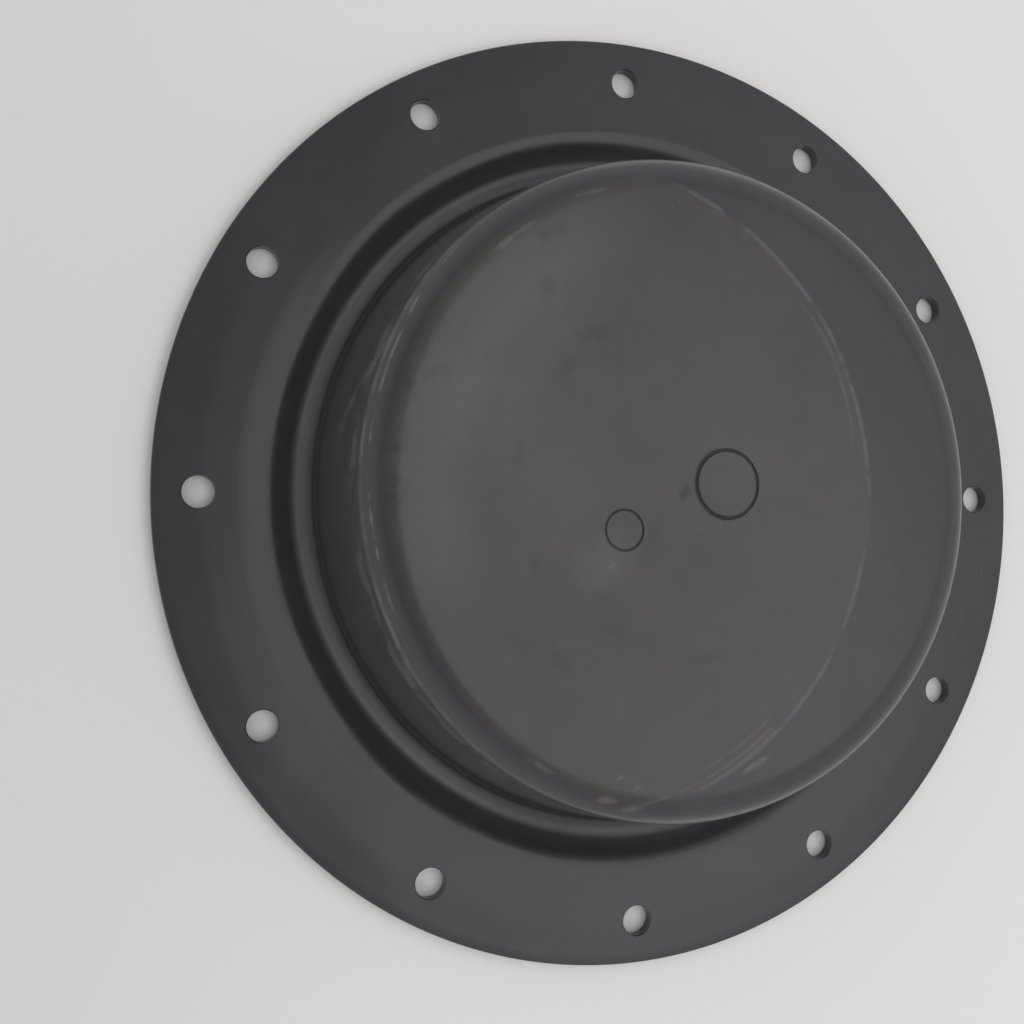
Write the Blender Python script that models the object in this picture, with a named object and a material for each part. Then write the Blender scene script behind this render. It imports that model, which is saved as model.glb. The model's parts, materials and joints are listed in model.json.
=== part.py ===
"""Regulator diaphragm: one moulded rubber piece, with a bolted flange and a raised flat-topped crown.

The piece is turned about Z from one section. From outside to inside the section has a flat flange,
a groove that the flange rolls down into, a tapered wall, a rounded crest, a sloping shoulder and a
flat head. The crown is hollow underneath, with a wall of even thickness.

Sizes are in metres. The underside of the flange is at z = 0, with the crown pointing up and one
bolt hole on the +X axis.
"""
import math

import bmesh
import bpy
from mathutils import Vector

# Flange, with its bolt holes evenly spaced on a circle that lies in from the edge
OUTER_RADIUS = 0.1350
FLANGE_THICKNESS = 0.0035
FLANGE_EDGE_ROUND = 0.0005
BOLT_EDGE_DISTANCE = 0.0120
BOLT_HOLE_RADIUS = 0.00425
BOLT_HOLE_COUNT = 12

# Groove round the foot of the crown: it starts this far in from the bolt circle, leads down softly,
# rolls over to a straight flank and turns up again at its foot to the wall
BOLT_TO_GROOVE = 0.0156
LEAD_RADIUS = 0.0300
LEAD_TILT = math.radians(5.0)
ROLL_RADIUS = 0.0090
FLANK_TILT = math.radians(30.0)
VALLEY_RADIUS = 0.0055
FOOT_FILLET = 0.0048
GROOVE_DEPTH = 0.0026

# Crown, outside; its rise is from the flange's top face to the crest
CREST_RISE = 0.03885
WALL_DRAFT = math.radians(7.5)
SHOULDER_WIDTH = 0.0078
SHOULDER_SLOPE = math.radians(12.0)
CREST_FILLET = 0.0070
HEAD_EDGE_FILLET = 0.0150

# Crown, inside
CROWN_THICKNESS = 0.0025
MOUTH_ROUND = 0.0020
SMALLEST_FILLET = 0.0004

# Facets
TURN_FACETS = 96
HOLE_FACETS = 28
FILLET_STEPS = 5
SOFT_FILLET_STEPS = 3
ROLL_STEPS = 4
VALLEY_STEPS = 3
LEAD_STEPS = 2
EDGE_STEPS = 2
CUTTER_OVERRUN = 0.0020
MERGE_DISTANCE = 0.00001
SHARP_ANGLE = math.radians(28.0)


def clear_scene():
    """Remove every object that the scene already holds."""
    for item in list(bpy.data.objects):
        bpy.data.objects.remove(item, do_unlink=True)


def arc(centre, radius, start, end, steps):
    """Points of a round stretch of the section, both ends included, with angles in radians."""
    turn = (end - start) / steps
    return [
        centre + radius * Vector((math.cos(start + turn * i), math.sin(start + turn * i)))
        for i in range(steps + 1)
    ]


def rounded(before, corner, after, radius, steps):
    """Points of the arc that rounds a corner of the section between its two straight runs."""
    back = (before - corner).normalized()
    ahead = (after - corner).normalized()
    half_angle = math.acos(max(-1.0, min(1.0, back.dot(ahead)))) / 2
    centre = corner + (back + ahead).normalized() * radius / math.sin(half_angle)
    first = corner + back * radius / math.tan(half_angle) - centre
    last = corner + ahead * radius / math.tan(half_angle) - centre
    start = math.atan2(first.y, first.x)
    turn = first.angle_signed(last)
    return arc(centre, radius, start, start - turn, steps)


def bolt_circle_radius():
    """Radius of the circle that the bolt holes stand on."""
    return OUTER_RADIUS - BOLT_EDGE_DISTANCE


def groove_side():
    """Points of the groove's outer side, from its lowest point out to the flange's top face."""
    upright = math.pi / 2
    start = Vector((bolt_circle_radius() - BOLT_TO_GROOVE, FLANGE_THICKNESS))
    lead_centre = start - Vector((0.0, LEAD_RADIUS))
    lead = arc(lead_centre, LEAD_RADIUS, upright + LEAD_TILT, upright, LEAD_STEPS)

    tilted = Vector((-math.sin(LEAD_TILT), math.cos(LEAD_TILT)))
    roll_centre = lead[0] - ROLL_RADIUS * tilted
    roll = arc(roll_centre, ROLL_RADIUS, upright + FLANK_TILT, upright + LEAD_TILT, ROLL_STEPS)

    # The straight flank is as long as the groove's depth needs
    valley_drop = VALLEY_RADIUS * (1.0 - math.cos(FLANK_TILT))
    fall = roll[0].y - (FLANGE_THICKNESS - GROOVE_DEPTH) - valley_drop
    flank = max(fall, SMALLEST_FILLET) / math.sin(FLANK_TILT)
    flank_end = roll[0] - flank * Vector((math.cos(FLANK_TILT), math.sin(FLANK_TILT)))
    valley_centre = flank_end + VALLEY_RADIUS * Vector((-math.sin(FLANK_TILT), math.cos(FLANK_TILT)))
    valley = arc(valley_centre, VALLEY_RADIUS, -upright, FLANK_TILT - upright, VALLEY_STEPS)
    return valley + roll + lead[1:]


def foot_fillet():
    """Points of the fillet that turns down from the wall to the groove's lowest point."""
    centre = groove_side()[0] + Vector((0.0, FOOT_FILLET))
    return arc(centre, FOOT_FILLET, math.pi + WALL_DRAFT, 1.5 * math.pi, FILLET_STEPS)[:-1]


def crown_corners():
    """Sharp corners of the crown's outside, from the axis down to the foot, as (radius, height)."""
    crest_height = FLANGE_THICKNESS + CREST_RISE
    foot = foot_fillet()[0]
    crest_radius = foot.x - (crest_height - foot.y) * math.tan(WALL_DRAFT)
    head_height = crest_height + SHOULDER_WIDTH * math.tan(SHOULDER_SLOPE)
    return {
        "axis": Vector((0.0, head_height)),
        "head_edge": Vector((crest_radius - SHOULDER_WIDTH, head_height)),
        "crest": Vector((crest_radius, crest_height)),
        "foot": foot,
    }


def hollow_corners(crown):
    """Sharp corners of the hollow, a wall's thickness inside the crown, from its mouth to the axis."""
    under_head = crown["head_edge"].y - CROWN_THICKNESS
    shoulder_drop = CROWN_THICKNESS / math.cos(SHOULDER_SLOPE)
    wall_offset = CROWN_THICKNESS / math.cos(WALL_DRAFT)

    # Underside of the shoulder meets the underside of the head
    head_gap = shoulder_drop - CROWN_THICKNESS
    head_radius = crown["head_edge"].x - head_gap / math.tan(SHOULDER_SLOPE)

    # Underside of the shoulder meets the inside of the wall
    slope = math.tan(SHOULDER_SLOPE)
    draft = math.tan(WALL_DRAFT)
    crest_shift = (wall_offset - shoulder_drop * draft) / (1.0 - slope * draft)
    crest_radius = crown["crest"].x - crest_shift
    crest_height = crown["crest"].y - shoulder_drop + crest_shift * slope

    mouth_radius = crest_radius + crest_height * draft
    return {
        "mouth": Vector((mouth_radius, 0.0)),
        "crest": Vector((crest_radius, crest_height)),
        "head_edge": Vector((head_radius, under_head)),
        "axis": Vector((0.0, under_head)),
    }


def flange_edge():
    """Outer edge of the flange, with both its corners eased."""
    inset = OUTER_RADIUS - FLANGE_EDGE_ROUND
    top = Vector((inset, FLANGE_THICKNESS - FLANGE_EDGE_ROUND))
    bottom = Vector((inset, FLANGE_EDGE_ROUND))
    quarter = math.pi / 2
    return (
        arc(top, FLANGE_EDGE_ROUND, quarter, 0.0, EDGE_STEPS)
        + arc(bottom, FLANGE_EDGE_ROUND, 0.0, -quarter, EDGE_STEPS)
    )


def section():
    """Half section of the diaphragm, from the axis over the crown and back under it to the axis."""
    crown = crown_corners()
    hollow = hollow_corners(crown)
    inner_crest_fillet = max(CREST_FILLET - CROWN_THICKNESS, SMALLEST_FILLET)
    inner_head_fillet = max(HEAD_EDGE_FILLET - CROWN_THICKNESS, SMALLEST_FILLET)
    under_flange = hollow["mouth"] + Vector((MOUTH_ROUND * 4, 0.0))

    points = [crown["axis"]]
    points += rounded(
        crown["axis"], crown["head_edge"], crown["crest"], HEAD_EDGE_FILLET, SOFT_FILLET_STEPS)
    points += rounded(
        crown["head_edge"], crown["crest"], crown["foot"], CREST_FILLET, FILLET_STEPS)
    points += foot_fillet()
    points += groove_side()
    points += flange_edge()
    points += rounded(under_flange, hollow["mouth"], hollow["crest"], MOUTH_ROUND, FILLET_STEPS)
    points += rounded(
        hollow["mouth"], hollow["crest"], hollow["head_edge"], inner_crest_fillet, FILLET_STEPS)
    points += rounded(
        hollow["crest"], hollow["head_edge"], hollow["axis"], inner_head_fillet, SOFT_FILLET_STEPS)
    points.append(hollow["axis"])
    return points


def turned_body(name, points):
    """Object whose mesh is the half section, spun once about Z and closed on itself."""
    work = bmesh.new()
    vertices = [work.verts.new((point.x, 0.0, point.y)) for point in points]
    edges = [work.edges.new(pair) for pair in zip(vertices, vertices[1:])]
    bmesh.ops.spin(
        work, geom=vertices + edges, cent=(0.0, 0.0, 0.0), axis=(0.0, 0.0, 1.0),
        angle=2 * math.pi, steps=TURN_FACETS, use_merge=True)
    bmesh.ops.remove_doubles(work, verts=work.verts, dist=MERGE_DISTANCE)
    bmesh.ops.recalc_face_normals(work, faces=work.faces)

    mesh = bpy.data.meshes.new(name)
    work.to_mesh(mesh)
    work.free()
    mesh.shade_smooth()
    mesh.set_sharp_from_angle(angle=SHARP_ANGLE)
    body = bpy.data.objects.new(name, mesh)
    bpy.context.collection.objects.link(body)
    return body


def bolt_hole_cutter():
    """Ring of cylinders that cut the bolt holes, running past both faces of the flange."""
    work = bmesh.new()
    for i in range(BOLT_HOLE_COUNT):
        angle = 2 * math.pi * i / BOLT_HOLE_COUNT
        made = bmesh.ops.create_cone(
            work, cap_ends=True, segments=HOLE_FACETS, radius1=BOLT_HOLE_RADIUS,
            radius2=BOLT_HOLE_RADIUS, depth=FLANGE_THICKNESS + 2 * CUTTER_OVERRUN)
        place = Vector((
            bolt_circle_radius() * math.cos(angle),
            bolt_circle_radius() * math.sin(angle),
            FLANGE_THICKNESS / 2,
        ))
        bmesh.ops.translate(work, verts=made["verts"], vec=place)
    mesh = bpy.data.meshes.new("bolt_hole_cutter")
    work.to_mesh(mesh)
    work.free()
    cutter = bpy.data.objects.new("bolt_hole_cutter", mesh)
    bpy.context.collection.objects.link(cutter)
    cutter.hide_render = True
    cutter.display_type = "WIRE"
    return cutter


def cut_bolt_holes(body, cutter):
    """Cut the bolt holes through the flange."""
    cut = body.modifiers.new("bolt_holes", "BOOLEAN")
    cut.operation = "DIFFERENCE"
    cut.solver = "EXACT"
    cut.object = cutter


def rubber():
    """Black moulded rubber with a dull sheen."""
    material = bpy.data.materials.new("rubber")
    material.use_nodes = True
    shader = material.node_tree.nodes["Principled BSDF"]
    shader.inputs["Base Color"].default_value = (0.055, 0.055, 0.058, 1.0)
    shader.inputs["Roughness"].default_value = 0.45
    shader.inputs["Metallic"].default_value = 0.0
    return material


def build():
    """Build the diaphragm."""
    clear_scene()
    diaphragm = turned_body("diaphragm", section())
    diaphragm.data.materials.append(rubber())
    cut_bolt_holes(diaphragm, bolt_hole_cutter())


build()
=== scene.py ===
"""Looks of a moulded rubber regulator diaphragm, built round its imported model.

The diaphragm is one turned piece. From outside to inside it has a flat flange with bolt holes, a
groove at the foot of the crown, a tapered wall, a sloping shoulder and a flat head with two round
mould marks. Sizes are in metres and angles in degrees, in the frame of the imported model: the
underside of the flange lies at z = 0 and one bolt hole stands on the +X axis.
"""
from __future__ import annotations

import json
import logging
import math
from collections.abc import Sequence
from dataclasses import dataclass, field
from enum import Enum
from typing import Any

import bpy
from mathutils import Matrix, Vector

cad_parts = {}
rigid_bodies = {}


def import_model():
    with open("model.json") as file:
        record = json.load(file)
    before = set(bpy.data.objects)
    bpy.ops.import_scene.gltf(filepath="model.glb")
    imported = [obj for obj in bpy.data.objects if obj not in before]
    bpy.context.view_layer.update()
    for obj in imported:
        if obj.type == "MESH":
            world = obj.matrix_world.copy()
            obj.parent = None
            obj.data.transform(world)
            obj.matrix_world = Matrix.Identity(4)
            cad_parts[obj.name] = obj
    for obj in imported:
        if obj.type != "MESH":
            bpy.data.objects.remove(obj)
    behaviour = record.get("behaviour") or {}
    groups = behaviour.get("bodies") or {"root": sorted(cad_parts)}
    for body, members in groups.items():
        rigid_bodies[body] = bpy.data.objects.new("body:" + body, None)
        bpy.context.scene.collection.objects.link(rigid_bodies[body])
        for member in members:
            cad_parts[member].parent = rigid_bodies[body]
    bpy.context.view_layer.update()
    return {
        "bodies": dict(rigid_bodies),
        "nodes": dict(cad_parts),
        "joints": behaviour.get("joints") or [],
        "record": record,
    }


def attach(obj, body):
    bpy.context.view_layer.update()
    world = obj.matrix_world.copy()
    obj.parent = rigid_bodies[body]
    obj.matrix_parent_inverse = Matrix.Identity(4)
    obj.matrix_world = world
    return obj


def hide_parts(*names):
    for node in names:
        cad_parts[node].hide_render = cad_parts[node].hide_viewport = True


LOG = logging.getLogger("diaphragm")
BODY = "root"
NODE = "diaphragm"

# Socket type that each kind of value needs
SOCKETS = {
    int: "NodeSocketInt", float: "NodeSocketFloat", tuple: "NodeSocketVector",
    bpy.types.Material: "NodeSocketMaterial",
}

Socket = bpy.types.NodeSocket
Colour = tuple[float, float, float]
Place = tuple[float, float, float]
Point = tuple[float, float]
Reach = tuple[float, float]


class Zone(Enum):
    """Faces of the moulding that a mark can lie on."""

    FLANGE = "flange"
    CROWN = "crown"


class Stain(Enum):
    """What a mark on the rubber is made of, with its colour; the scuff colour also serves painted
    highlights and the soil colour painted shade.
    """

    SCUFF_AND_HIGHLIGHT = (0.150, 0.147, 0.140)
    CHALK = (0.260, 0.245, 0.215)
    BLUSH = (0.190, 0.138, 0.122)
    SOIL_AND_SHADE = (0.006, 0.006, 0.007)


@dataclass(frozen=True)
class Pattern:
    """Noise pattern: features to a metre, finer layers, and how far it is slid along."""

    scale: float
    detail: float = 0.0
    slide: float = 0.0


def added(name: str, data: bpy.types.ID) -> bpy.types.Object:
    """Add an object that holds the given data to the scene.

    Args:
        name: The object's name.
        data: Its mesh, lamp or camera.

    Returns:
        The object.
    """
    made = bpy.data.objects.new(name, data)
    bpy.context.scene.collection.objects.link(made)
    return made


class Graph:
    """Short ways to add nodes to one node tree and to join them."""

    MEASURES = ("LENGTH", "DISTANCE", "DOT_PRODUCT")

    def __init__(self, tree: bpy.types.NodeTree) -> None:
        """Keep the tree that the nodes go into."""
        self.tree = tree
        self.given: Any = None

    @classmethod
    def group(cls, name: str, kind: str, inputs: dict[str, str], output: str, output_kind: str) -> Graph:
        """Start a node group with named inputs and one output.

        Args:
            name: Name of the group.
            kind: Blender's identifier of the tree.
            inputs: Socket type of each input, by name.
            output: Name of the output.
            output_kind: Socket type of the output.

        Returns:
            The group's graph, which holds the inputs as given.
        """
        graph = cls(bpy.data.node_groups.new(name, kind))
        sides = graph.tree.interface
        for label, socket in inputs.items():
            sides.new_socket(label, in_out="INPUT", socket_type=socket)
        sides.new_socket(output, in_out="OUTPUT", socket_type=output_kind)
        graph.given = graph.node("NodeGroupInput").outputs
        return graph

    def node(self, kind: str, inputs: dict[Any, Any] | None = None, **settings: Any) -> bpy.types.Node:
        """Add a node and feed its inputs.

        Args:
            kind: Blender's identifier of the node.
            inputs: Sockets or plain values, by name or number of the input.
            settings: Values of the node's own properties.

        Returns:
            The new node.
        """
        made = self.tree.nodes.new(kind)
        for name, value in settings.items():
            setattr(made, name, value)
        for name, value in (inputs or {}).items():
            self.feed(made.inputs[name], value)
        return made

    def feed(self, socket: Socket, value: Any) -> None:
        """Join an output to an input, or set the input's value.

        Args:
            socket: The input.
            value: An output socket, or a plain value.
        """
        if isinstance(value, Socket):
            self.tree.links.new(value, socket)
        else:
            socket.default_value = value

    def math(self, operation: str, *values: Any, clamp: bool = False) -> Socket:
        """Add a Math node for one to three values, whose result may be kept between 0 and 1."""
        inputs = dict(enumerate(values))
        return self.node("ShaderNodeMath", inputs, operation=operation, use_clamp=clamp).outputs[0]

    def vector(self, operation: str, *values: Any) -> Socket:
        """Add a Vector Math node, whose result is a number where the operation measures."""
        made = self.node("ShaderNodeVectorMath", dict(enumerate(values)), operation=operation)
        return made.outputs["Value" if operation in self.MEASURES else "Vector"]

    def scaled(self, vector: Socket, factor: Socket) -> Socket:
        """Multiply a vector or a colour by a number."""
        inputs = {0: vector, "Scale": factor}
        return self.node("ShaderNodeVectorMath", inputs, operation="SCALE").outputs["Vector"]

    def product(self, first: Any, *others: Any) -> Socket:
        """Multiply two or more sockets or numbers."""
        for other in others:
            first = self.math("MULTIPLY", first, other)
        return first

    def ramp(self, value: Any, low: Any, high: Any) -> Socket:
        """Add a smooth step of a value, from 0 where it is low to 1 where it is high."""
        inputs = {"Value": value, "From Min": low, "From Max": high}
        return self.node("ShaderNodeMapRange", inputs, interpolation_type="SMOOTHSTEP").outputs["Result"]

    def noise(self, where: Socket, pattern: Pattern) -> Socket:
        """Add a noise texture.

        Args:
            where: The coordinates.
            pattern: The noise's pattern.

        Returns:
            A factor from about 0.2 to 0.8.
        """
        moved = self.vector("ADD", where, (pattern.slide, 0.0, pattern.slide))
        inputs = {"Vector": moved, "Scale": pattern.scale, "Detail": pattern.detail}
        return self.node("ShaderNodeTexNoise", inputs).outputs[0]

    def mix(self, factor: Any, first: Any, second: Any) -> Socket:
        """Add a colour mix.

        Args:
            factor: Share of the second colour.
            first: Colour at a factor of 0.
            second: Colour at a factor of 1.

        Returns:
            The mixed colour.
        """
        made = self.node("ShaderNodeMix", data_type="RGBA", clamp_factor=True)
        self.feed(made.inputs["Factor"], factor)
        for name, value in (("A", first), ("B", second)):
            socket = next(s for s in made.inputs if s.name == name and s.type == "RGBA")
            self.feed(socket, value if isinstance(value, Socket) else (*value, 1.0))
        return next(s for s in made.outputs if s.type == "RGBA")


@dataclass
class Section:
    """Half section of the diaphragm: its driving sizes and the outline that follows from them."""

    outer_radius: float = 0.1350
    flange_thickness: float = 0.0035
    edge_round: float = 0.0005
    groove_start: float = 0.1074
    lead_radius: float = 0.0300
    lead_tilt: float = 5.0
    roll_radius: float = 0.0090
    flank_tilt: float = 30.0
    valley_radius: float = 0.0055
    foot_fillet: float = 0.0048
    groove_depth: float = 0.0026
    crest_rise: float = 0.03885
    wall_draft: float = 7.5
    shoulder_width: float = 0.0078
    shoulder_slope: float = 12.0
    crest_fillet: float = 0.0070
    head_fillet: float = 0.0150
    wall_thickness: float = 0.0025
    mouth_round: float = 0.0020
    longest_run: float = 0.0030

    # Parts that each arc is divided into
    lead_steps: int = 6
    roll_steps: int = 12
    valley_steps: int = 8
    foot_steps: int = 14
    edge_steps: int = 5
    head_steps: int = 6
    crest_steps: int = 14
    mouth_steps: int = 6
    inner_crest_steps: int = 8
    inner_head_steps: int = 4

    @property
    def head_height(self) -> float:
        """Height of the flat head over the underside of the flange."""
        shoulder_rise = self.shoulder_width * math.tan(math.radians(self.shoulder_slope))
        return self.flange_thickness + self.crest_rise + shoulder_rise

    def groove_side(self) -> list[Vector]:
        """Lay out the groove's outer side, from its lowest point out to the flange's top face.

        Returns:
            The points of the round valley, the roll over to its flank and the soft lead into it.
        """
        upright = math.pi / 2
        lead_tilt, flank_tilt = math.radians(self.lead_tilt), math.radians(self.flank_tilt)
        lead_centre = Vector((self.groove_start, self.flange_thickness - self.lead_radius))
        lead = self.arc(lead_centre, self.lead_radius, upright + lead_tilt, upright, self.lead_steps)
        roll_centre = lead[0] - self.roll_radius * Vector((-math.sin(lead_tilt), math.cos(lead_tilt)))
        roll = self.arc(
            roll_centre, self.roll_radius, upright + flank_tilt, upright + lead_tilt, self.roll_steps)
        valley_drop = self.valley_radius * (1.0 - math.cos(flank_tilt))
        fall = roll[0].y - (self.flange_thickness - self.groove_depth) - valley_drop
        run = fall / math.sin(flank_tilt)
        flank_end = roll[0] - run * Vector((math.cos(flank_tilt), math.sin(flank_tilt)))
        centre = flank_end + self.valley_radius * Vector((-math.sin(flank_tilt), math.cos(flank_tilt)))
        valley = self.arc(centre, self.valley_radius, -upright, flank_tilt - upright, self.valley_steps)
        return valley + roll + lead[1:]

    def foot_side(self) -> list[Vector]:
        """Lay out the fillet from the wall down to the groove's lowest point, which is left out."""
        centre = self.groove_side()[0] + Vector((0.0, self.foot_fillet))
        start = math.pi + math.radians(self.wall_draft)
        return self.arc(centre, self.foot_fillet, start, 1.5 * math.pi, self.foot_steps)[:-1]

    def outside_corners(self) -> dict[str, Vector]:
        """Find the sharp corners of the outside.

        Returns:
            Each corner as (radius, height), by name.
        """
        height = self.flange_thickness + self.crest_rise
        foot = self.foot_side()[0]
        crest = Vector((foot.x - (height - foot.y) * math.tan(math.radians(self.wall_draft)), height))
        return {
            "axis": Vector((0.0, self.head_height)),
            "head_edge": Vector((crest.x - self.shoulder_width, self.head_height)),
            "crest": crest,
            "foot": foot,
        }

    def inside_corners(self) -> dict[str, Vector]:
        """Find the sharp corners of the hollow, a wall's thickness inside the crown.

        Returns:
            Each corner as (radius, height), by name.
        """
        slope = math.tan(math.radians(self.shoulder_slope))
        draft = math.tan(math.radians(self.wall_draft))
        drop = self.wall_thickness / math.cos(math.radians(self.shoulder_slope))
        inset = self.wall_thickness / math.cos(math.radians(self.wall_draft))
        under_head = self.head_height - self.wall_thickness
        outside = self.outside_corners()
        head_radius = outside["head_edge"].x - (drop - self.wall_thickness) / slope
        shift = (inset - drop * draft) / (1.0 - slope * draft)
        crest = outside["crest"] + Vector((-shift, shift * slope - drop))
        return {
            "mouth": Vector((crest.x + crest.y * draft, 0.0)),
            "crest": crest,
            "head_edge": Vector((head_radius, under_head)),
            "axis": Vector((0.0, under_head)),
        }

    @staticmethod
    def arc(centre: Vector, radius: float, start: float, end: float, steps: int) -> list[Vector]:
        """Lay points along an arc.

        Args:
            centre: Centre of the arc.
            radius: Its radius.
            start: First angle, in radians.
            end: Last angle, in radians.
            steps: How many equal parts it has.

        Returns:
            The points, both ends included.
        """
        turn = (end - start) / steps
        return [
            centre + radius * Vector((math.cos(start + turn * i), math.sin(start + turn * i)))
            for i in range(steps + 1)
        ]

    @classmethod
    def rounded(
        cls, before: Vector, corner: Vector, after: Vector, radius: float, steps: int,
    ) -> list[Vector]:
        """Round a corner between two straight runs.

        Args:
            before: A point on the first run.
            corner: The sharp corner.
            after: A point on the second run.
            radius: Radius of the rounding.
            steps: How many parts the arc has.

        Returns:
            The points of the arc.
        """
        back = (before - corner).normalized()
        ahead = (after - corner).normalized()
        half = math.acos(max(-1.0, min(1.0, back.dot(ahead)))) / 2
        centre = corner + (back + ahead).normalized() * radius / math.sin(half)
        first = corner + back * radius / math.tan(half) - centre
        last = corner + ahead * radius / math.tan(half) - centre
        start = math.atan2(first.y, first.x)
        return cls.arc(centre, radius, start, start - first.angle_signed(last), steps)

    def edge(self) -> list[Vector]:
        """Lay out the flange's outer edge, with both its corners eased."""
        inset, quarter = self.outer_radius - self.edge_round, math.pi / 2
        top = Vector((inset, self.flange_thickness - self.edge_round))
        bottom = Vector((inset, self.edge_round))
        upper = self.arc(top, self.edge_round, quarter, 0.0, self.edge_steps)
        return upper + self.arc(bottom, self.edge_round, 0.0, -quarter, self.edge_steps)

    def outline(self) -> list[Vector]:
        """Lay out the whole half section, over the crown and back under it to the axis.

        Returns:
            The points as (radius, height), with no run longer than the longest one allowed.
        """
        out = self.outside_corners()
        hollow = self.inside_corners()
        under_flange = hollow["mouth"] + Vector((self.mouth_round * 4, 0.0))
        inner_crest = self.crest_fillet - self.wall_thickness
        inner_head = self.head_fillet - self.wall_thickness
        over = [out[name] for name in ("axis", "head_edge", "crest", "foot")]
        under = [under_flange, *(hollow[name] for name in ("mouth", "crest", "head_edge", "axis"))]
        points = [over[0]]
        points += self.rounded(*over[:3], self.head_fillet, self.head_steps)
        points += self.rounded(*over[1:], self.crest_fillet, self.crest_steps)
        points += self.foot_side() + self.groove_side() + self.edge()
        points += self.rounded(*under[:3], self.mouth_round, self.mouth_steps)
        points += self.rounded(*under[1:4], inner_crest, self.inner_crest_steps)
        points += self.rounded(*under[2:], inner_head, self.inner_head_steps)
        points.append(under[-1])
        return self.divided(points)

    def divided(self, points: Sequence[Vector]) -> list[Vector]:
        """Split the long runs of an outline into equal parts.

        Args:
            points: The outline.

        Returns:
            The outline with the added points.
        """
        finer = [points[0]]
        for start, end in zip(points, points[1:]):
            parts = max(1, math.ceil((end - start).length / self.longest_run))
            finer += [start.lerp(end, i / parts) for i in range(1, parts + 1)]
        return finer


@dataclass(frozen=True)
class MouldMark:
    """Round line that an insert of the mould leaves on the head."""

    name: str
    centre: Point
    radius: float
    line: float
    turn_facets: int = 96
    line_facets: int = 12


@dataclass(frozen=True)
class BoltPattern:
    """Bolt holes of the flange, and the cutters that make them and ease their lips."""

    count: int = 12
    circle_radius: float = 0.1230
    hole_radius: float = 0.00425
    lip_round: float = 0.0004
    overrun: float = 0.0006
    facets: int = 48
    wall_steps: int = 14


@dataclass(frozen=True)
class ArcMark:
    """Line along a stretch of a circle: mostly rubbed scuffs, with some that are painted shade and painted
    highlights.
    """

    centre: Point
    radius: float
    start: float
    end: float
    width: float
    strength: float
    gaps: float = 0.45
    wander: float = 0.0012
    stain: Stain = Stain.SCUFF_AND_HIGHLIGHT
    fade: float = 10.0

    @property
    def middle(self) -> Place:
        """Direction from the centre to the middle of the stretch."""
        angle = math.radians((self.start + self.end) / 2)
        return (math.cos(angle), math.sin(angle), 0.0)

    @property
    def span_edge(self) -> float:
        """Cosine of the angle from the middle where the stretch ends, or -3 if it goes all round."""
        half = (self.end - self.start) / 2
        return -3.0 if half >= 180.0 else math.cos(math.radians(half))

    @property
    def span_inner(self) -> float:
        """Cosine of the angle from the middle where its fading starts, or -2 if it goes all round."""
        half = (self.end - self.start) / 2
        return -2.0 if half >= 180.0 else math.cos(math.radians(half - self.fade))

    @property
    def gap_level(self) -> float:
        """Level of the patchy noise below which the line is worn away."""
        return 0.18 + 0.5 * self.gaps


@dataclass(frozen=True)
class Smear:
    """Short soft patch with a length, a width and a turn."""

    centre: Point
    length: float
    width: float
    turn: float
    strength: float
    zone: Zone = Zone.CROWN
    stain: Stain = Stain.SCUFF_AND_HIGHLIGHT
    raggedness: float = 1.6

    @property
    def along(self) -> Place:
        """Direction of the patch's length, divided by that length."""
        angle = math.radians(self.turn)
        return (math.cos(angle) / self.length, math.sin(angle) / self.length, 0.0)

    @property
    def across(self) -> Place:
        """Direction of the patch's width, divided by that width."""
        angle = math.radians(self.turn)
        return (-math.sin(angle) / self.width, math.cos(angle) / self.width, 0.0)


class Skin(Graph):
    """Graph of the rubber's material, with sockets that tell where a point of the rubber lies."""

    def __init__(self, tree: bpy.types.NodeTree, crown_levels: Reach, head_levels: Reach) -> None:
        """Add the nodes that tell where a point lies.

        Args:
            tree: The material's tree.
            crown_levels: Heights between which the flange passes into the crown.
            head_levels: Heights between which the wall passes into the head.
        """
        super().__init__(tree)
        self.place = self.node("ShaderNodeTexCoord").outputs["Object"]
        axes = self.node("ShaderNodeSeparateXYZ", {0: self.place}).outputs
        self.x, self.height = axes["X"], axes["Z"]
        self.flat = self.node("ShaderNodeCombineXYZ", {"X": axes["X"], "Y": axes["Y"]}).outputs[0]
        self.radius = self.vector("LENGTH", self.flat)
        self.crown = self.ramp(self.height, *crown_levels)
        self.head = self.ramp(self.height, *head_levels)
        self.flange = self.math("SUBTRACT", 1.0, self.crown)

    def stacked(self, base: Any, layers: Sequence[tuple[Socket, Any]]) -> Socket:
        """Add layers to a level, each by its factor times its share.

        Args:
            base: The level before the first layer.
            layers: Factor and share of each layer.

        Returns:
            The level after the last layer.
        """
        for factor, share in layers:
            base = self.math("MULTIPLY_ADD", factor, share, base)
        return base


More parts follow.
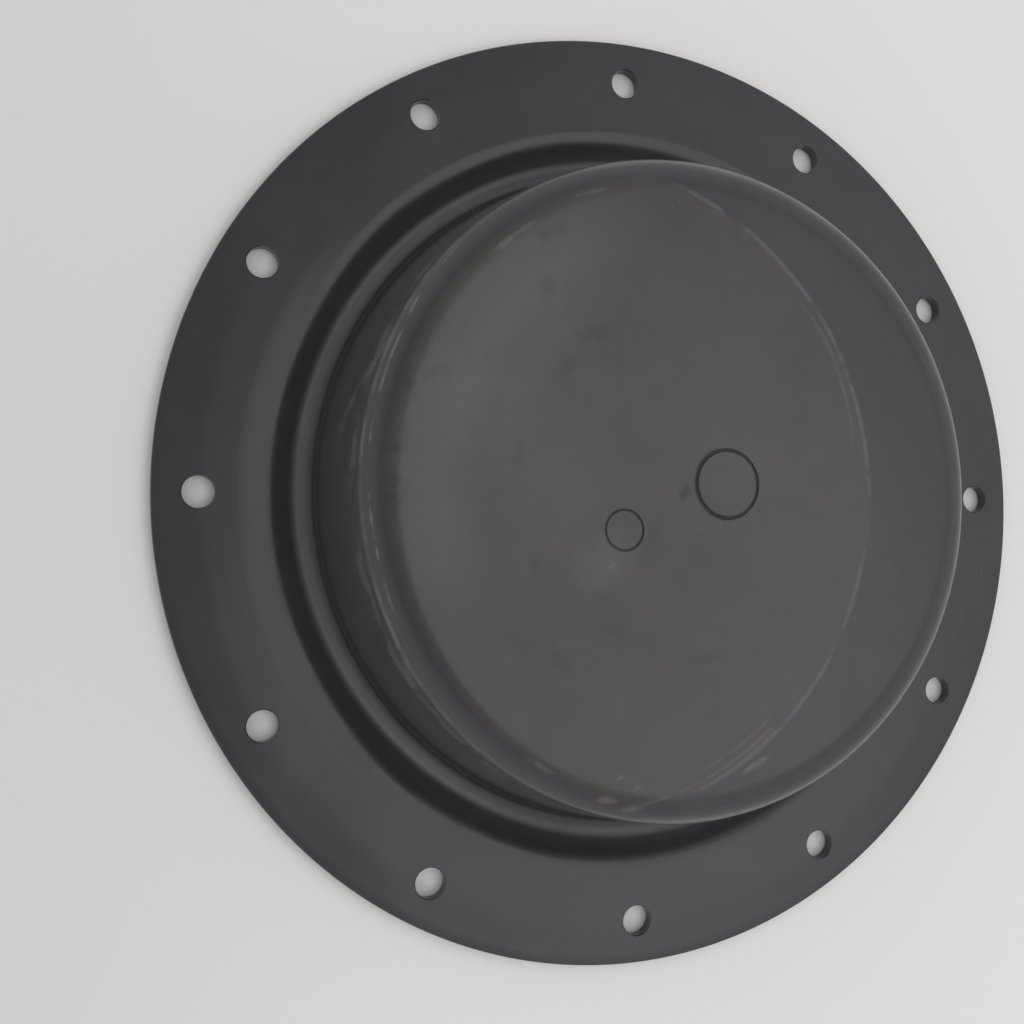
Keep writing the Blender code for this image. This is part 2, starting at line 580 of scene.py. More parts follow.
@dataclass(frozen=True)
class RubberFinish:
    """Black moulded rubber, dusty and scuffed where the crown has been handled, with painted light and
    painted shade in its colour at the groove, foot, rim, wall, shoulder and head.
    """

    flange_colour: Colour = (0.0084, 0.0112, 0.0178)
    # The flange's rim is painted darker than the rest of the flange: painted shade standing in for the dim
    # reflection along it
    rim_painted_shade: Colour = (0.0036, 0.0052, 0.0102)
    # The groove is painted paler than the flange: painted light that makes up for the light the crown
    # keeps from it
    groove_painted_light: Colour = (0.0390, 0.0388, 0.0420)
    # The foot, where the crown's wall meets the groove, is painted dark: painted shade in the concave
    # corner
    foot_painted_shade: Colour = (0.0150, 0.0150, 0.0165)
    cut_colour: Colour = (0.0480, 0.0480, 0.0490)
    # The wall goes from a darker colour low down to a paler one near the crest: painted light on the upper
    # wall
    wall_colour: Colour = (0.0350, 0.0335, 0.0335)
    upper_wall_painted_light: Colour = (0.0560, 0.0560, 0.0595)
    head_colour: Colour = (0.0385, 0.0305, 0.0280)
    head_patches: Colour = (0.0305, 0.0305, 0.0235)
    crescent_colour: Colour = (0.0235, 0.0235, 0.0245)

    # Heights and radii between which one zone passes into the next
    crown_levels: Reach = (0.0018, 0.0042)
    wall_levels: Reach = (0.0100, 0.0300)
    head_levels: Reach = (0.0378, 0.0438)
    flat_head_levels: Reach = (0.0433, 0.0438)
    cut_levels: Reach = (0.0033, 0.0030)
    cut_reach: Reach = (0.1080, 0.1100)
    foot_reach: Reach = (0.0940, 0.0972)
    groove_reach: Reach = (0.1010, 0.1060)
    rim_reach: Reach = (0.1180, 0.1300)
    crescent_edge: float = 0.0010

    # Painted highlight: a pale ring along the groove's floor on the left, standing in for the bright
    # reflection there
    painted_highlight_ring_colour: Colour = (0.0860, 0.0840, 0.0840)
    highlight_ring_radius: float = 0.0970
    highlight_ring_width: Reach = (0.0028, 0.0004)
    highlight_ring_side: Reach = (-0.0200, -0.0700)

    # Mottling of the colour and specks of dust
    head_pattern: Pattern = Pattern(34.0, 1.0, 6.3)
    head_pattern_range: Reach = (0.36, 0.62)
    broad_pattern: Pattern = Pattern(22.0, 1.0)
    broad_share: float = 0.30
    close_pattern: Pattern = Pattern(140.0, 1.0, 3.1)
    close_share: float = 0.26
    darkest_tone: float = 0.72
    speck_pattern: Pattern = Pattern(1500.0, 0.0, 7.7)
    speck_range: Reach = (0.80, 0.86)
    specks: float = 0.35

    # Roughness, which is higher in the groove, on the crest's left and where the rubber is rubbed
    roughness: float = 0.14
    cloud_pattern: Pattern = Pattern(60.0, 1.0, 5.3)
    cloud_share: float = 0.12
    dull_reach: Reach = (0.1130, 0.1060)
    dullness: float = 0.12
    crest_levels: Reach = (0.0300, 0.0380)
    crest_side: Reach = (-0.0250, -0.0650)
    crest_dullness: float = 0.16
    rubbed_dullness: float = 0.25

    # Depth of the relief: the flange sags to the groove on the left, rolls into it more steeply
    # elsewhere, most of all above and below, and droops at its rim
    sag_reach: Reach = (0.1000, 0.1135)
    sag: float = 0.00060
    spread_reach: Reach = (0.1008, 0.1082)
    spread_side: Reach = (-0.1000, -0.0680)
    spread: float = 0.00110
    steep_side: Reach = (-0.0600, -0.0200)
    steep_share: float = 0.50
    droop_reach: Reach = (0.1350, 0.1215)
    droop: float = 0.00022
    wave_pattern: Pattern = Pattern(24.0, 0.0, 9.1)
    waves: float = 0.00030
    grain_pattern: Pattern = Pattern(1400.0, 0.0, 4.4)
    grain: float = 0.000006

    # Noises that bend the rubbed lines, wear gaps in them and fray the smears
    drift_pattern: Pattern = Pattern(38.0, 1.0)
    wear_pattern: Pattern = Pattern(130.0, 2.0)
    rag_pattern: Pattern = Pattern(300.0, 2.0)

    main_scuff: ArcMark = ArcMark((-0.0310, -0.0001), 0.0840, -74.0, 76.0, 0.0010, 0.34, 0.36)
    arcs: tuple[ArcMark, ...] = (
        ArcMark((-0.0126, 0.0095), 0.0609, 0.0, 46.0, 0.0008, 0.22, 0.45),
        ArcMark((-0.0041, 0.0449), 0.0304, 44.0, 72.0, 0.0008, 0.26, 0.45),
        ArcMark((0.0, 0.0), 0.0887, 126.0, 240.0, 0.0005, 0.36, 0.42, 0.0006),
        ArcMark((0.0004, 0.0), 0.0880, 130.0, 232.0, 0.0004, 0.50, 0.42, 0.0008),
        ArcMark((0.0012, 0.0006), 0.0872, 134.0, 204.0, 0.0004, 0.36, 0.45, 0.0010, Stain.CHALK),
        ArcMark((-0.0085, -0.0056), 0.0830, 140.0, 170.0, 0.0006, 0.34, 0.42),
        ArcMark((0.0513, 0.0171), 0.1414, 199.0, 216.0, 0.0006, 0.34, 0.42),
        # These two pale lines along the crest on the right are partly scuffs and partly a painted
        # highlight on the crest's edge
        ArcMark((0.0, 0.0), 0.0869, -104.0, 112.0, 0.0015, 0.42, 0.20, 0.0004),
        ArcMark((0.0, 0.0), 0.0866, 8.0, 96.0, 0.0024, 0.46, 0.36, 0.0006, fade=25.0),
        ArcMark((-0.0310, -0.0001), 0.0822, -84.0, -46.0, 0.0007, 0.24, 0.40),
        ArcMark((-0.0310, -0.0001), 0.0798, -72.0, -38.0, 0.0006, 0.20, 0.44),
        ArcMark((0.0, 0.0), 0.0840, -100.0, 110.0, 0.0050, 0.06, 0.00, 0.0004),
        ArcMark((0.0, 0.0), 0.0720, 92.0, 214.0, 0.0150, 0.24, 0.00, 0.0040, fade=45.0),
        ArcMark((0.0, 0.0), 0.0600, 106.0, 182.0, 0.0160, 0.11, 0.00, 0.0040, fade=35.0),
        # These three dark rings are painted shade in the mould marks' lines; the third widens it on the
        # large mark's left as a painted shadow along its step
        ArcMark((-0.0205, -0.0112), 0.0052, 0.0, 360.0, 0.0006, 0.90, 0.00, 0.0000, Stain.SOIL_AND_SHADE),
        ArcMark((0.0093, 0.0009), 0.0090, 0.0, 360.0, 0.0007, 0.90, 0.00, 0.0000, Stain.SOIL_AND_SHADE),
        ArcMark((0.0095, 0.0011), 0.0093, 100.0, 290.0, 0.0013, 0.80, 0.00, 0.0000, Stain.SOIL_AND_SHADE, 30.0),
    )
    smears: tuple[Smear, ...] = (
        Smear((-0.0517, 0.0607), 0.0070, 0.0012, 40.0, 0.35),
        Smear((-0.0474, 0.0639), 0.0060, 0.0010, 35.0, 0.30),
        Smear((-0.0284, 0.0753), 0.0060, 0.0010, 18.0, 0.25),
        Smear((-0.0436, -0.0696), 0.0060, 0.0010, -30.0, 0.25),
        Smear((-0.0261, -0.0792), 0.0038, 0.0013, -8.0, 0.36, stain=Stain.BLUSH, raggedness=0.6),
        Smear((-0.0190, -0.0819), 0.0042, 0.0014, 4.0, 0.34, stain=Stain.BLUSH, raggedness=0.6),
        Smear((-0.0225, -0.0737), 0.0022, 0.0008, 20.0, 0.26),
        Smear((-0.0181, -0.0765), 0.0016, 0.0008, 15.0, 0.26),
        Smear((0.0159, -0.0729), 0.0055, 0.0012, 25.0, 0.35),
        # A dark dent and the dark line of a wrinkle near the head's centre: painted shade
        Smear((-0.0035, -0.0018), 0.0036, 0.0020, 55.0, 1.00, stain=Stain.SOIL_AND_SHADE, raggedness=0.8),
        Smear((-0.0125, -0.0125), 0.0110, 0.0022, 62.0, 0.22, stain=Stain.SOIL_AND_SHADE, raggedness=0.8),
        # Painted highlight: a small glint on the wrinkle near the head's centre
        Smear((-0.0239, -0.0202), 0.0026, 0.0010, 40.0, 0.18),
        Smear((-0.0275, 0.0390), 0.0060, 0.0030, 20.0, 0.40, stain=Stain.SOIL_AND_SHADE),
        Smear((-0.0360, 0.0299), 0.0060, 0.0030, 50.0, 0.35, stain=Stain.SOIL_AND_SHADE),
        Smear((-0.0488, 0.0079), 0.0050, 0.0025, 80.0, 0.30, stain=Stain.SOIL_AND_SHADE),
        Smear((-0.0449, -0.0194), 0.0050, 0.0025, 110.0, 0.30, stain=Stain.SOIL_AND_SHADE),
        Smear((-0.0383, -0.0440), 0.0060, 0.0030, 135.0, 0.30, stain=Stain.SOIL_AND_SHADE),
        Smear((-0.0241, -0.0365), 0.0060, 0.0030, 150.0, 0.30, stain=Stain.SOIL_AND_SHADE),
        Smear((0.0023, -0.0442), 0.0060, 0.0030, 10.0, 0.30, stain=Stain.SOIL_AND_SHADE),
        # Painted highlight: the soft sheen where the head's centre bulges
        Smear((-0.0262, -0.0195), 0.0125, 0.0095, 30.0, 0.15, raggedness=0.4),
        Smear((-0.0440, 0.0140), 0.0480, 0.0300, 105.0, 0.07, raggedness=0.3),
        Smear((0.1252, -0.0238), 0.0030, 0.0006, 80.0, 0.50, Zone.FLANGE),
    )

    def material(self) -> bpy.types.Material:
        """Make the rubber.

        Returns:
            The material.
        """
        made = bpy.data.materials.new("moulded_rubber")
        made.use_nodes = True
        skin = Skin(made.node_tree, self.crown_levels, self.head_levels)
        shader = made.node_tree.nodes["Principled BSDF"]
        rubbed, colour = self.marked(skin, self.base_colour(skin))
        for name, value in {
            "Metallic": 0.0, "IOR": 1.5, "Base Color": colour,
            "Roughness": self.roughness_of(skin, rubbed), "Normal": self.relief(skin),
        }.items():
            skin.feed(shader.inputs[name], value)
        return made

    def base_colour(self, skin: Skin) -> Socket:
        """Colour the clean rubber, zone by zone and mottled.

        Args:
            skin: The material's graph.

        Returns:
            The colour.
        """
        tone = skin.stacked(self.darkest_tone, (
            (skin.noise(skin.place, self.broad_pattern), self.broad_share),
            (skin.noise(skin.place, self.close_pattern), self.close_share),
        ))
        return skin.scaled(skin.mix(skin.crown, self.low_colour(skin), self.raised_colour(skin)), tone)

    def raised_colour(self, skin: Skin) -> Socket:
        """Colour the crown: wall with painted light on its upper part, shoulder in painted shade, mottled
        head and the crescent beyond the main scuff.

        Args:
            skin: The material's graph.

        Returns:
            The colour.
        """
        scuff = self.main_scuff
        away = skin.vector("DISTANCE", skin.flat, (*scuff.centre, 0.0))
        beyond = skin.ramp(away, scuff.radius - self.crescent_edge, scuff.radius + self.crescent_edge)
        clouds = skin.ramp(skin.noise(skin.place, self.head_pattern), *self.head_pattern_range)
        top = skin.mix(clouds, self.head_colour, self.head_patches)
        top = skin.mix(beyond, top, self.crescent_colour)
        # The shoulder below the flat head takes the darker crescent colour: painted shade on its outward
        # slope
        top = skin.mix(skin.ramp(skin.height, *self.flat_head_levels), self.crescent_colour, top)
        # painted light: the wall turns paler towards the crest
        wall = skin.ramp(skin.height, *self.wall_levels)
        return skin.mix(skin.head, skin.mix(wall, self.wall_colour, self.upper_wall_painted_light), top)

    def low_colour(self, skin: Skin) -> Socket:
        """Colour the low zone: the foot in painted shade, the groove in painted light with a painted
        highlight ring on its left, the flange, its rim in painted shade and the cut faces of the flange.

        Args:
            skin: The material's graph.

        Returns:
            The colour.
        """
        miss = skin.math("ABSOLUTE", skin.math("SUBTRACT", skin.radius, self.highlight_ring_radius))
        on_highlight_ring = skin.ramp(miss, *self.highlight_ring_width)
        cut = skin.ramp(skin.height, *self.cut_levels)
        # the foot starts in painted shade
        low: Any = self.foot_painted_shade
        for factor, colour in (
            # groove painted paler: painted light
            (skin.ramp(skin.radius, *self.foot_reach), self.groove_painted_light),
            (skin.ramp(skin.radius, *self.groove_reach), self.flange_colour),
            # rim painted darker: painted shade
            (skin.ramp(skin.radius, *self.rim_reach), self.rim_painted_shade),
            # painted highlight ring along the groove's floor on the left
            (skin.product(on_highlight_ring, skin.ramp(skin.x, *self.highlight_ring_side)), self.painted_highlight_ring_colour),
            (skin.product(cut, skin.ramp(skin.radius, *self.cut_reach)), self.cut_colour),
        ):
            low = skin.mix(factor, low, colour)
        return low

    def marked(self, skin: Skin, colour: Socket) -> tuple[Socket, Socket]:
        """Lay the scuffs, smears and dust over the colour, with the painted highlights and painted shade
        among them.

        Args:
            skin: The material's graph.
            colour: Colour of the clean rubber.

        Returns:
            How rubbed each point is, and the marked colour.
        """
        rubbed: Socket | None = None
        arc_group, smear_group = MarkGroups.arc(), MarkGroups.smear()
        drift = skin.noise(skin.place, self.drift_pattern)
        wear = skin.noise(skin.place, self.wear_pattern)
        rags = skin.noise(skin.place, self.rag_pattern)
        for arc in (self.main_scuff, *self.arcs):
            shape = skin.node("ShaderNodeGroup", {
                "Place": skin.flat, "Centre": (*arc.centre, 0.0), "Radius": arc.radius, "Width": arc.width,
                "Middle": arc.middle, "Span Edge": arc.span_edge, "Span Inner": arc.span_inner,
                "Gap": arc.gap_level, "Wander": arc.wander, "Drift": drift, "Patches": wear,
            }, node_tree=arc_group).outputs["Factor"]
            part = skin.product(shape, skin.crown, arc.strength)
            colour = skin.mix(part, colour, arc.stain.value)
            rubbed = part if rubbed is None else skin.math("MAXIMUM", rubbed, part)
        for smear in self.smears:
            shape = skin.node("ShaderNodeGroup", {
                "Place": skin.flat, "Centre": (*smear.centre, 0.0), "Along": smear.along,
                "Across": smear.across, "Rags": rags, "Raggedness": smear.raggedness,
            }, node_tree=smear_group).outputs["Factor"]
            zone = skin.head if smear.zone is Zone.CROWN else skin.flange
            colour = skin.mix(skin.product(shape, zone, smear.strength), colour, smear.stain.value)
        specks = skin.ramp(skin.noise(skin.place, self.speck_pattern), *self.speck_range)
        return rubbed, skin.mix(skin.product(specks, skin.head, self.specks), colour, Stain.SCUFF_AND_HIGHLIGHT.value)

    def roughness_of(self, skin: Skin, rubbed: Socket) -> Socket:
        """Vary the sheen over the rubber, which is duller in the groove and on the worn crest.

        Args:
            skin: The material's graph.
            rubbed: How rubbed the point is.

        Returns:
            The roughness.
        """
        crest = skin.product(
            skin.ramp(skin.height, *self.crest_levels), skin.math("SUBTRACT", 1.0, skin.head),
            skin.ramp(skin.x, *self.crest_side))
        return skin.stacked(self.roughness, (
            (skin.noise(skin.place, self.cloud_pattern), self.cloud_share),
            (skin.product(skin.ramp(skin.radius, *self.dull_reach), skin.flange), self.dullness),
            (crest, self.crest_dullness),
            (rubbed, self.rubbed_dullness),
        ))

    def relief(self, skin: Skin) -> Socket:
        """Give the surface its grain and slow waves, and the flange its soft sag and drooping rim.

        Args:
            skin: The material's graph.

        Returns:
            The normal.
        """
        sagging = skin.product(skin.ramp(skin.radius, *self.sag_reach), self.sag)
        steeper = skin.math("MULTIPLY_ADD", skin.ramp(skin.x, *self.steep_side), self.steep_share, 1.0)
        spreading = skin.product(skin.ramp(skin.radius, *self.spread_reach), self.spread, steeper)
        side = skin.ramp(skin.x, *self.spread_side)
        height = skin.stacked(sagging, (
            (side, skin.math("SUBTRACT", spreading, sagging)),
            (skin.ramp(skin.radius, *self.droop_reach), self.droop),
            (skin.noise(skin.place, self.wave_pattern), self.waves),
            (skin.noise(skin.place, self.grain_pattern), self.grain),
        ))
        inputs = {"Strength": 1.0, "Distance": 1.0, "Height": height}
        return skin.node("ShaderNodeBump", inputs).outputs["Normal"]


class MarkGroups:
    """Node groups that draw the shapes of the marks."""

    NUMBER = "NodeSocketFloat"
    LINE_CORE = 0.15
    SMEAR_CORE = 0.2
    WORN_SPREAD = 0.22
    MEAN_NOISE = 0.5

    @classmethod
    def group(cls, name: str, vectors: Sequence[str], numbers: Sequence[str]) -> Graph:
        """Start a shader group with named vectors and numbers as inputs and a factor as its output."""
        inputs = dict.fromkeys(vectors, "NodeSocketVector") | dict.fromkeys(numbers, cls.NUMBER)
        return Graph.group(name, "ShaderNodeTree", inputs, "Factor", cls.NUMBER)

    @classmethod
    def arc(cls) -> bpy.types.NodeTree:
        """Draw a thin broken line along a stretch of a circle.

        Returns:
            The group.
        """
        graph = cls.group("arc_mark", ("Place", "Centre", "Middle"), (
            "Radius", "Width", "Span Edge", "Span Inner", "Gap", "Wander", "Drift", "Patches"))
        given = graph.given
        offset = graph.vector("SUBTRACT", given["Place"], given["Centre"])
        away = graph.vector("LENGTH", offset)
        reach = graph.vector("DOT_PRODUCT", offset, given["Middle"])
        span = graph.ramp(graph.math("DIVIDE", reach, away), given["Span Edge"], given["Span Inner"])
        drift = graph.math("SUBTRACT", given["Drift"], cls.MEAN_NOISE)
        bent = graph.math("MULTIPLY_ADD", drift, given["Wander"], away)
        miss = graph.math("ABSOLUTE", graph.math("SUBTRACT", bent, given["Radius"]))
        line = graph.ramp(miss, given["Width"], graph.product(given["Width"], cls.LINE_CORE))
        worn = graph.ramp(given["Patches"], given["Gap"], graph.math("ADD", given["Gap"], cls.WORN_SPREAD))
        graph.node("NodeGroupOutput", {"Factor": graph.product(line, span, worn)})
        return graph.tree

    @classmethod
    def smear(cls) -> bpy.types.NodeTree:
        """Draw a soft oval patch that is broken up by noise.

        Returns:
            The group.
        """
        graph = cls.group("smear", ("Place", "Centre", "Along", "Across"), ("Rags", "Raggedness"))
        given = graph.given
        offset = graph.vector("SUBTRACT", given["Place"], given["Centre"])
        along = graph.vector("DOT_PRODUCT", offset, given["Along"])
        across = graph.vector("DOT_PRODUCT", offset, given["Across"])
        squares = graph.math("MULTIPLY_ADD", along, along, graph.product(across, across))
        rag = graph.math("SUBTRACT", given["Rags"], cls.MEAN_NOISE)
        away = graph.math("MULTIPLY_ADD", rag, given["Raggedness"], graph.math("SQRT", squares))
        graph.node("NodeGroupOutput", {"Factor": graph.ramp(away, 1.0, cls.SMEAR_CORE)})
        return graph.tree


@dataclass
class Moulding:
    """The whole rubber piece: a turned section with bolt holes and mould marks cut into it."""

    section: Section = field(default_factory=Section)
    bolts: BoltPattern = BoltPattern()
    marks: tuple[MouldMark, ...] = (
        MouldMark("Small Mark", (-0.0205, -0.0112), 0.0052, 0.00060),
        MouldMark("Large Mark", (0.0093, 0.0009), 0.0090, 0.00090),
    )
    finish: RubberFinish = RubberFinish()
    turn_facets: int = 468
    merge_distance: float = 0.000002
    sharp_angle: float = 34.0
    unevenness: float = 0.00010
    uneven_pattern: Pattern = Pattern(16.0, 1.0, 2.2)

    def section_object(self) -> bpy.types.Object:
        """Make the object that the tree works on, whose mesh is the section as a line.

        Returns:
            The object.
        """
        points = [(point.x, 0.0, point.y) for point in self.section.outline()]
        mesh = bpy.data.meshes.new("diaphragm_section")
        mesh.from_pydata(points, [(i, i + 1) for i in range(len(points) - 1)], [])
        return added("diaphragm_section", mesh)

    def inputs(self, rubber: bpy.types.Material) -> dict[str, Any]:
        """List the tree's inputs.

        Args:
            rubber: The finish of the piece.

        Returns:
            Value of each input, by name.
        """
        inputs = {
            "Turn Facets": self.turn_facets,
            "Hole Count": self.bolts.count,
            "Hole Circle Radius": self.bolts.circle_radius,
            "Hole Radius": self.bolts.hole_radius,
            "Hole Overrun": self.bolts.overrun,
            "Lip Round": self.bolts.lip_round,
            "Flange Thickness": self.section.flange_thickness,
            "Unevenness": self.unevenness,
            "Rubber": rubber,
        }
        for mark in self.marks:
            inputs[f"{mark.name} Centre"] = (*mark.centre, self.section.head_height)
            inputs[f"{mark.name} Radius"] = mark.radius
            inputs[f"{mark.name} Line"] = mark.line
        return inputs

    def tree(self, inputs: dict[str, Any]) -> bpy.types.NodeTree:
        """Build the geometry tree that turns the section and cuts the holes and marks.

        Args:
            inputs: Value of each input, by name.

        Returns:
            The tree.
        """
        geometry = "NodeSocketGeometry"
        kinds = {"Section": geometry} | {name: SOCKETS[type(value)] for name, value in inputs.items()}
        graph = Graph.group("turned_diaphragm", "GeometryNodeTree", kinds, "Geometry", geometry)
        body = self.uneven(graph, self.turned(graph))
        cut = graph.node(
            "GeometryNodeMeshBoolean", {"Mesh 1": body}, operation="DIFFERENCE", solver="MANIFOLD")
        for cutter in (self.hole_cutters(graph), *(self.mark_cutter(graph, mark) for mark in self.marks)):
            graph.feed(cut.inputs["Mesh 2"], cutter)
        solid = graph.node("GeometryNodeRealizeInstances", {"Geometry": cut.outputs["Mesh"]})
        coat = graph.node(
            "GeometryNodeSetMaterial", {"Geometry": solid.outputs[0], "Material": graph.given["Rubber"]})
        graph.node("NodeGroupOutput", {"Geometry": coat.outputs["Geometry"]})
        return graph.tree

    def turned(self, graph: Graph) -> Socket:
        """Turn the section about Z: a grid takes its place from the section, point by point.

        Args:
            graph: The tree's graph.

        Returns:
            The closed body.
        """
        given = graph.given
        size = graph.node(
            "GeometryNodeAttributeDomainSize", {"Geometry": given["Section"]}, component="MESH")
        rows = graph.math("ADD", given["Turn Facets"], 1.0)
        grid = graph.node(
            "GeometryNodeMeshGrid", {"Vertices X": size.outputs["Point Count"], "Vertices Y": rows})
        index = graph.node("GeometryNodeInputIndex").outputs[0]
        step = graph.math("FLOOR", graph.math("DIVIDE", graph.math("ADD", index, 0.5), rows))
        turn = graph.math("SUBTRACT", index, graph.product(step, rows))
        angle = graph.math("DIVIDE", graph.product(turn, math.tau), given["Turn Facets"])
        place = graph.node("GeometryNodeInputPosition").outputs[0]
        sample = graph.node(
            "GeometryNodeSampleIndex", {"Geometry": given["Section"], "Value": place, "Index": step},
            data_type="FLOAT_VECTOR", domain="POINT")
        spun = graph.node(
            "ShaderNodeVectorRotate", {"Vector": sample.outputs["Value"], "Angle": angle},
            rotation_type="Z_AXIS")
        moved = self.moved(graph, grid.outputs["Mesh"], Position=spun.outputs[0])
        merged = graph.node(
            "GeometryNodeMergeByDistance", {"Geometry": moved, "Distance": self.merge_distance})
        return merged.outputs["Geometry"]

    @staticmethod
    def moved(graph: Graph, shape: Socket, **change: Socket) -> Socket:
        """Set the Position of a shape's points, or shift them by an Offset."""
        return graph.node("GeometryNodeSetPosition", {"Geometry": shape, **change}).outputs["Geometry"]

    def uneven(self, graph: Graph, body: Socket) -> Socket:
        """Sink the surface a little here and there, as moulded rubber does.

        Args:
            graph: The tree's graph.
            body: The body.

        Returns:
            The body, nowhere outside its first shape.
        """
        place = graph.node("GeometryNodeInputPosition").outputs[0]
        normal = graph.node("GeometryNodeInputNormal").outputs["Normal"]
        depth = graph.product(graph.noise(place, self.uneven_pattern), graph.given["Unevenness"])
        return self.moved(graph, body, Offset=graph.scaled(normal, graph.product(depth, -1.0)))

    def hole_cutters(self, graph: Graph) -> Socket:
        """Stand a cutter with flared ends at each bolt hole.

        Args:
            graph: The tree's graph.

        Returns:
            The cutters.
        """
        given = graph.given
        lip = given["Lip Round"]
        half = graph.product(given["Flange Thickness"], 0.5)
        reach = graph.math("ADD", half, given["Hole Overrun"])
        cutter = graph.node("GeometryNodeMeshCylinder", {
            "Vertices": self.bolts.facets, "Side Segments": self.bolts.wall_steps,
            "Radius": given["Hole Radius"], "Depth": 2.0,
        })
        place = graph.node("GeometryNodeInputPosition").outputs[0]
        axes = graph.node("ShaderNodeSeparateXYZ", {0: place}).outputs
        level = graph.product(graph.math("SINE", graph.product(axes["Z"], math.pi / 2)), reach)
        past = graph.math("SUBTRACT", graph.math("ABSOLUTE", level), graph.math("SUBTRACT", half, lip))
        part = graph.math("DIVIDE", past, lip, clamp=True)
        dip = graph.math("SQRT", graph.math("SUBTRACT", 1.0, graph.product(part, part)))
        flare = graph.math("DIVIDE", graph.math("SUBTRACT", 1.0, dip), given["Hole Radius"])
        grow = graph.math("MULTIPLY_ADD", flare, lip, 1.0)
        shaped = graph.node("ShaderNodeCombineXYZ", {
            "X": graph.product(axes["X"], grow), "Y": graph.product(axes["Y"], grow),
            "Z": graph.math("ADD", level, half),
        })
        circle = graph.node(
            "GeometryNodeMeshCircle",
            {"Vertices": given["Hole Count"], "Radius": given["Hole Circle Radius"]})
        stand = graph.node("GeometryNodeInstanceOnPoints", {
            "Points": circle.outputs["Mesh"],
            "Instance": self.moved(graph, cutter.outputs["Mesh"], Position=shaped.outputs[0]),
        })
        solid = graph.node("GeometryNodeRealizeInstances", {"Geometry": stand.outputs["Instances"]})
        return solid.outputs["Geometry"]

    @staticmethod
    def mark_cutter(graph: Graph, mark: MouldMark) -> Socket:
        """Make the ring that cuts a mould mark's line into the head.

        Args:
            graph: The tree's graph.
            mark: The mark.

        Returns:
            The ring.
        """
        given = graph.given
        line_radius = graph.product(given[f"{mark.name} Line"], 0.5)
        path, profile = (
            graph.node("GeometryNodeCurvePrimitiveCircle", {"Resolution": facets, "Radius": radius})
            for facets, radius in (
                (mark.turn_facets, given[f"{mark.name} Radius"]), (mark.line_facets, line_radius)))
        ring = graph.node(
            "GeometryNodeCurveToMesh",
            {"Curve": path.outputs["Curve"], "Profile Curve": profile.outputs["Curve"]})
        placed = graph.node(
            "GeometryNodeTransform",
            {"Geometry": ring.outputs["Mesh"], "Translation": given[f"{mark.name} Centre"]})
        return placed.outputs["Geometry"]

    def build(self) -> bpy.types.Object:
        """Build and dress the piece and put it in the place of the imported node.

        Returns:
            The finished object.
        """
        source = self.section_object()
        inputs = self.inputs(self.finish.material())
        tree = self.tree(inputs)
        modifier = source.modifiers.new("turned_diaphragm", "NODES")
        modifier.node_group = tree
        sockets = {
            item.name: item.identifier for item in tree.interface.items_tree if item.in_out == "INPUT"}
        for name, value in inputs.items():
            modifier[sockets[name]] = value
        bpy.context.view_layer.update()
        graph = bpy.context.evaluated_depsgraph_get()
        mesh = bpy.data.meshes.new_from_object(source.evaluated_get(graph), depsgraph=graph)
        mesh.name = "diaphragm_rubber"
        source.modifiers.remove(modifier)
        bpy.data.objects.remove(source, do_unlink=True)
        mesh.shade_smooth()
        mesh.set_sharp_from_angle(angle=math.radians(self.sharp_angle))
        piece = added("diaphragm_rubber", mesh)
        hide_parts(NODE)
        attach(piece, BODY)
        return piece


@dataclass(frozen=True)
class SoftLamp:
    """Oval lamp that hangs over the table and shines straight down."""

    name: str
    place: Place
    size: Point
    radiance: float
    colour: Colour = (0.975, 0.980, 1.040)

    def hang(self) -> None:
        """Add the lamp to the scene, with the power that its radiance and area need."""
        light = bpy.data.lights.new(self.name, "AREA")
        light.shape = "ELLIPSE"
        light.size, light.size_y = self.size
        area = math.pi * self.size[0] * self.size[1] / 4
        light.energy = self.radiance * math.pi * area
        light.color = self.colour
        added(self.name, light).location = self.place


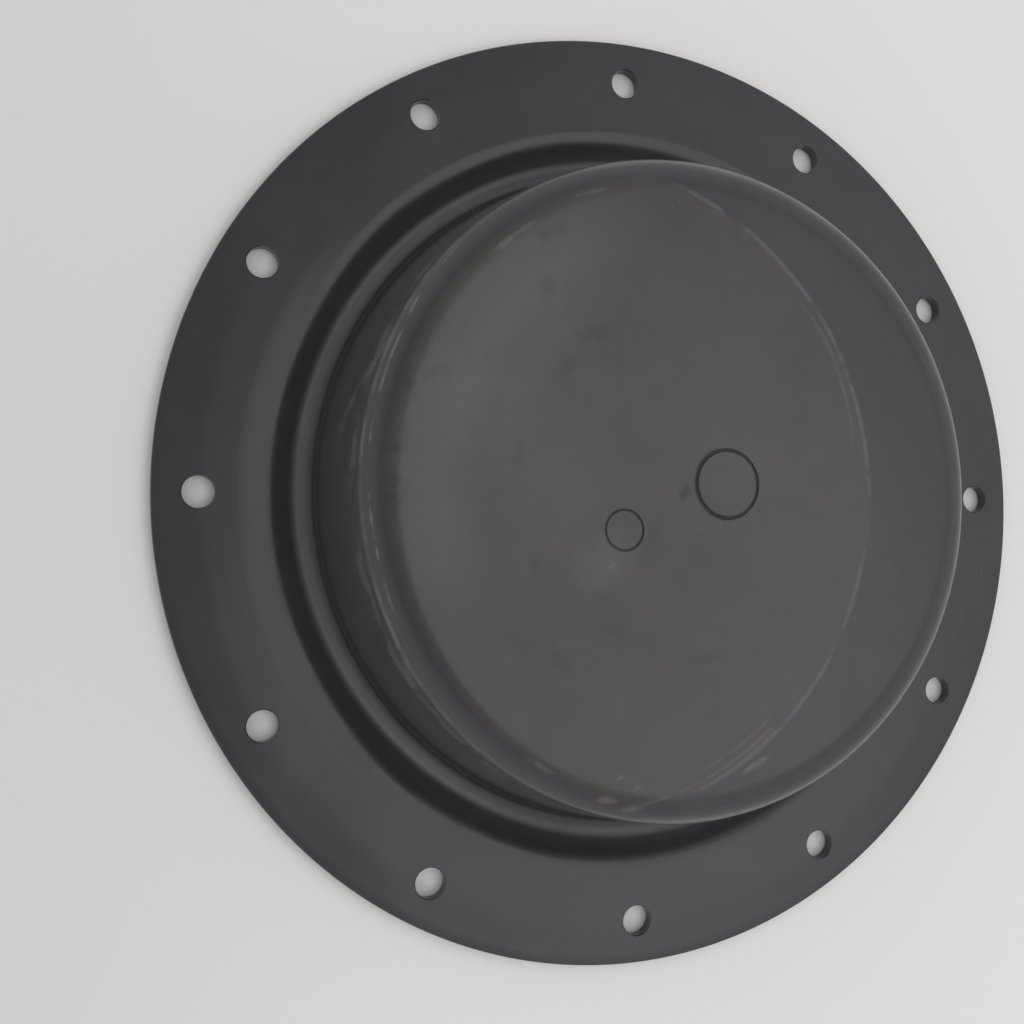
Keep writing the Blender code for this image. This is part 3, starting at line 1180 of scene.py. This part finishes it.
@dataclass
class Studio:
    """Table top, soft light and camera."""

    table_half_width: float = 6.0
    table_drop: float = 0.0002
    # The table's colour darkens to the left: painted shade where less light falls
    table_left: Colour = (0.728, 0.704, 0.668)
    table_right: Colour = (0.812, 0.800, 0.756)
    table_blend: Reach = (-0.20, -0.02)
    table_roughness: float = 0.7
    room_colour: Colour = (0.905, 0.907, 0.943)
    shade_colour: Colour = (0.410, 0.415, 0.440)
    shade_towards: Place = (-0.10, 0.16, 1.0)
    shade_angles: Reach = (14.0, 54.0)
    lamps: tuple[SoftLamp, ...] = (
        SoftLamp("wide_lamp", (0.72, -0.04, 1.50), (1.50, 1.95), 0.28),
        SoftLamp("near_lamp", (0.61, -0.13, 1.49), (1.18, 1.34), 0.72),
    )
    camera_place: Place = (-0.14360, -0.01897, 0.31671)
    camera_target: Place = (-0.03701, -0.00493, 0.0035)
    camera_roll: float = -0.551
    camera_nearest: float = 0.01
    lens: float = 41.1068
    sensor_width: float = 36.0

    def table(self) -> None:
        """Lay the pale table top under the piece."""
        half = self.table_half_width
        mesh = bpy.data.meshes.new("table_top")
        corners = [(-half, -half, 0), (half, -half, 0), (half, half, 0), (-half, half, 0)]
        mesh.from_pydata(corners, [], [(0, 1, 2, 3)])
        made = added("table_top", mesh)
        made.location.z = -self.table_drop
        mesh.materials.append(self.table_finish())

    def table_finish(self) -> bpy.types.Material:
        """Make the table's smooth pale finish, a little paler to the right: painted shade darkens its left
        side.

        Returns:
            The material.
        """
        made = bpy.data.materials.new("pale_table")
        made.use_nodes = True
        graph = Graph(made.node_tree)
        shader = made.node_tree.nodes["Principled BSDF"]
        shader.inputs["Roughness"].default_value = self.table_roughness
        place = graph.node("ShaderNodeTexCoord").outputs["Object"]
        axes = graph.node("ShaderNodeSeparateXYZ", {0: place}).outputs
        across = graph.ramp(axes["X"], *self.table_blend)
        graph.feed(shader.inputs["Base Color"], graph.mix(across, self.table_left, self.table_right))
        return made

    def world(self) -> None:
        """Fill the room with soft light, with a shaded stretch of ceiling over the table."""
        made = bpy.data.worlds.new("studio_room")
        made.use_nodes = True
        graph = Graph(made.node_tree)
        where = graph.node("ShaderNodeTexCoord").outputs["Generated"]
        facing = graph.vector("DOT_PRODUCT", where, tuple(Vector(self.shade_towards).normalized()))
        away = graph.math("DEGREES", graph.math("ARCCOSINE", facing))
        background = made.node_tree.nodes["Background"]
        room = graph.mix(graph.ramp(away, *self.shade_angles), self.shade_colour, self.room_colour)
        graph.feed(background.inputs["Color"], room)
        background.inputs["Strength"].default_value = 1.0
        bpy.context.scene.world = made

    def camera(self) -> None:
        """Set up the camera at the photograph's viewing angle."""
        view = bpy.data.cameras.new("camera")
        view.sensor_width = self.sensor_width
        view.lens = self.lens
        view.clip_start = self.camera_nearest
        made = added("camera", view)
        place, target = Vector(self.camera_place), Vector(self.camera_target)
        back = (place - target).normalized()
        right = Vector((0.0, 1.0, 0.0)).cross(back).normalized()
        frame = Matrix((right, back.cross(right), back)).transposed().to_4x4()
        roll = Matrix.Rotation(math.radians(self.camera_roll), 4, "Z")
        made.matrix_world = Matrix.Translation(place) @ frame @ roll
        bpy.context.scene.camera = made

    def build(self) -> None:
        """Set up the whole studio."""
        self.table()
        self.world()
        for lamp in self.lamps:
            lamp.hang()
        self.camera()
        bpy.context.scene.view_settings.view_transform = "Standard"


def main() -> None:
    """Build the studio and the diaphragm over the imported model."""
    logging.basicConfig(level=logging.INFO, format="%(name)s: %(message)s")
    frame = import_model()
    LOG.info("packed nodes: %s", sorted(frame["nodes"]))
    Studio().build()
    LOG.info("studio is ready")
    piece = Moulding().build()
    mesh = piece.data
    LOG.info("%s has %d vertices and %d faces", piece.name, len(mesh.vertices), len(mesh.polygons))


if __name__ == "__main__":
    main()
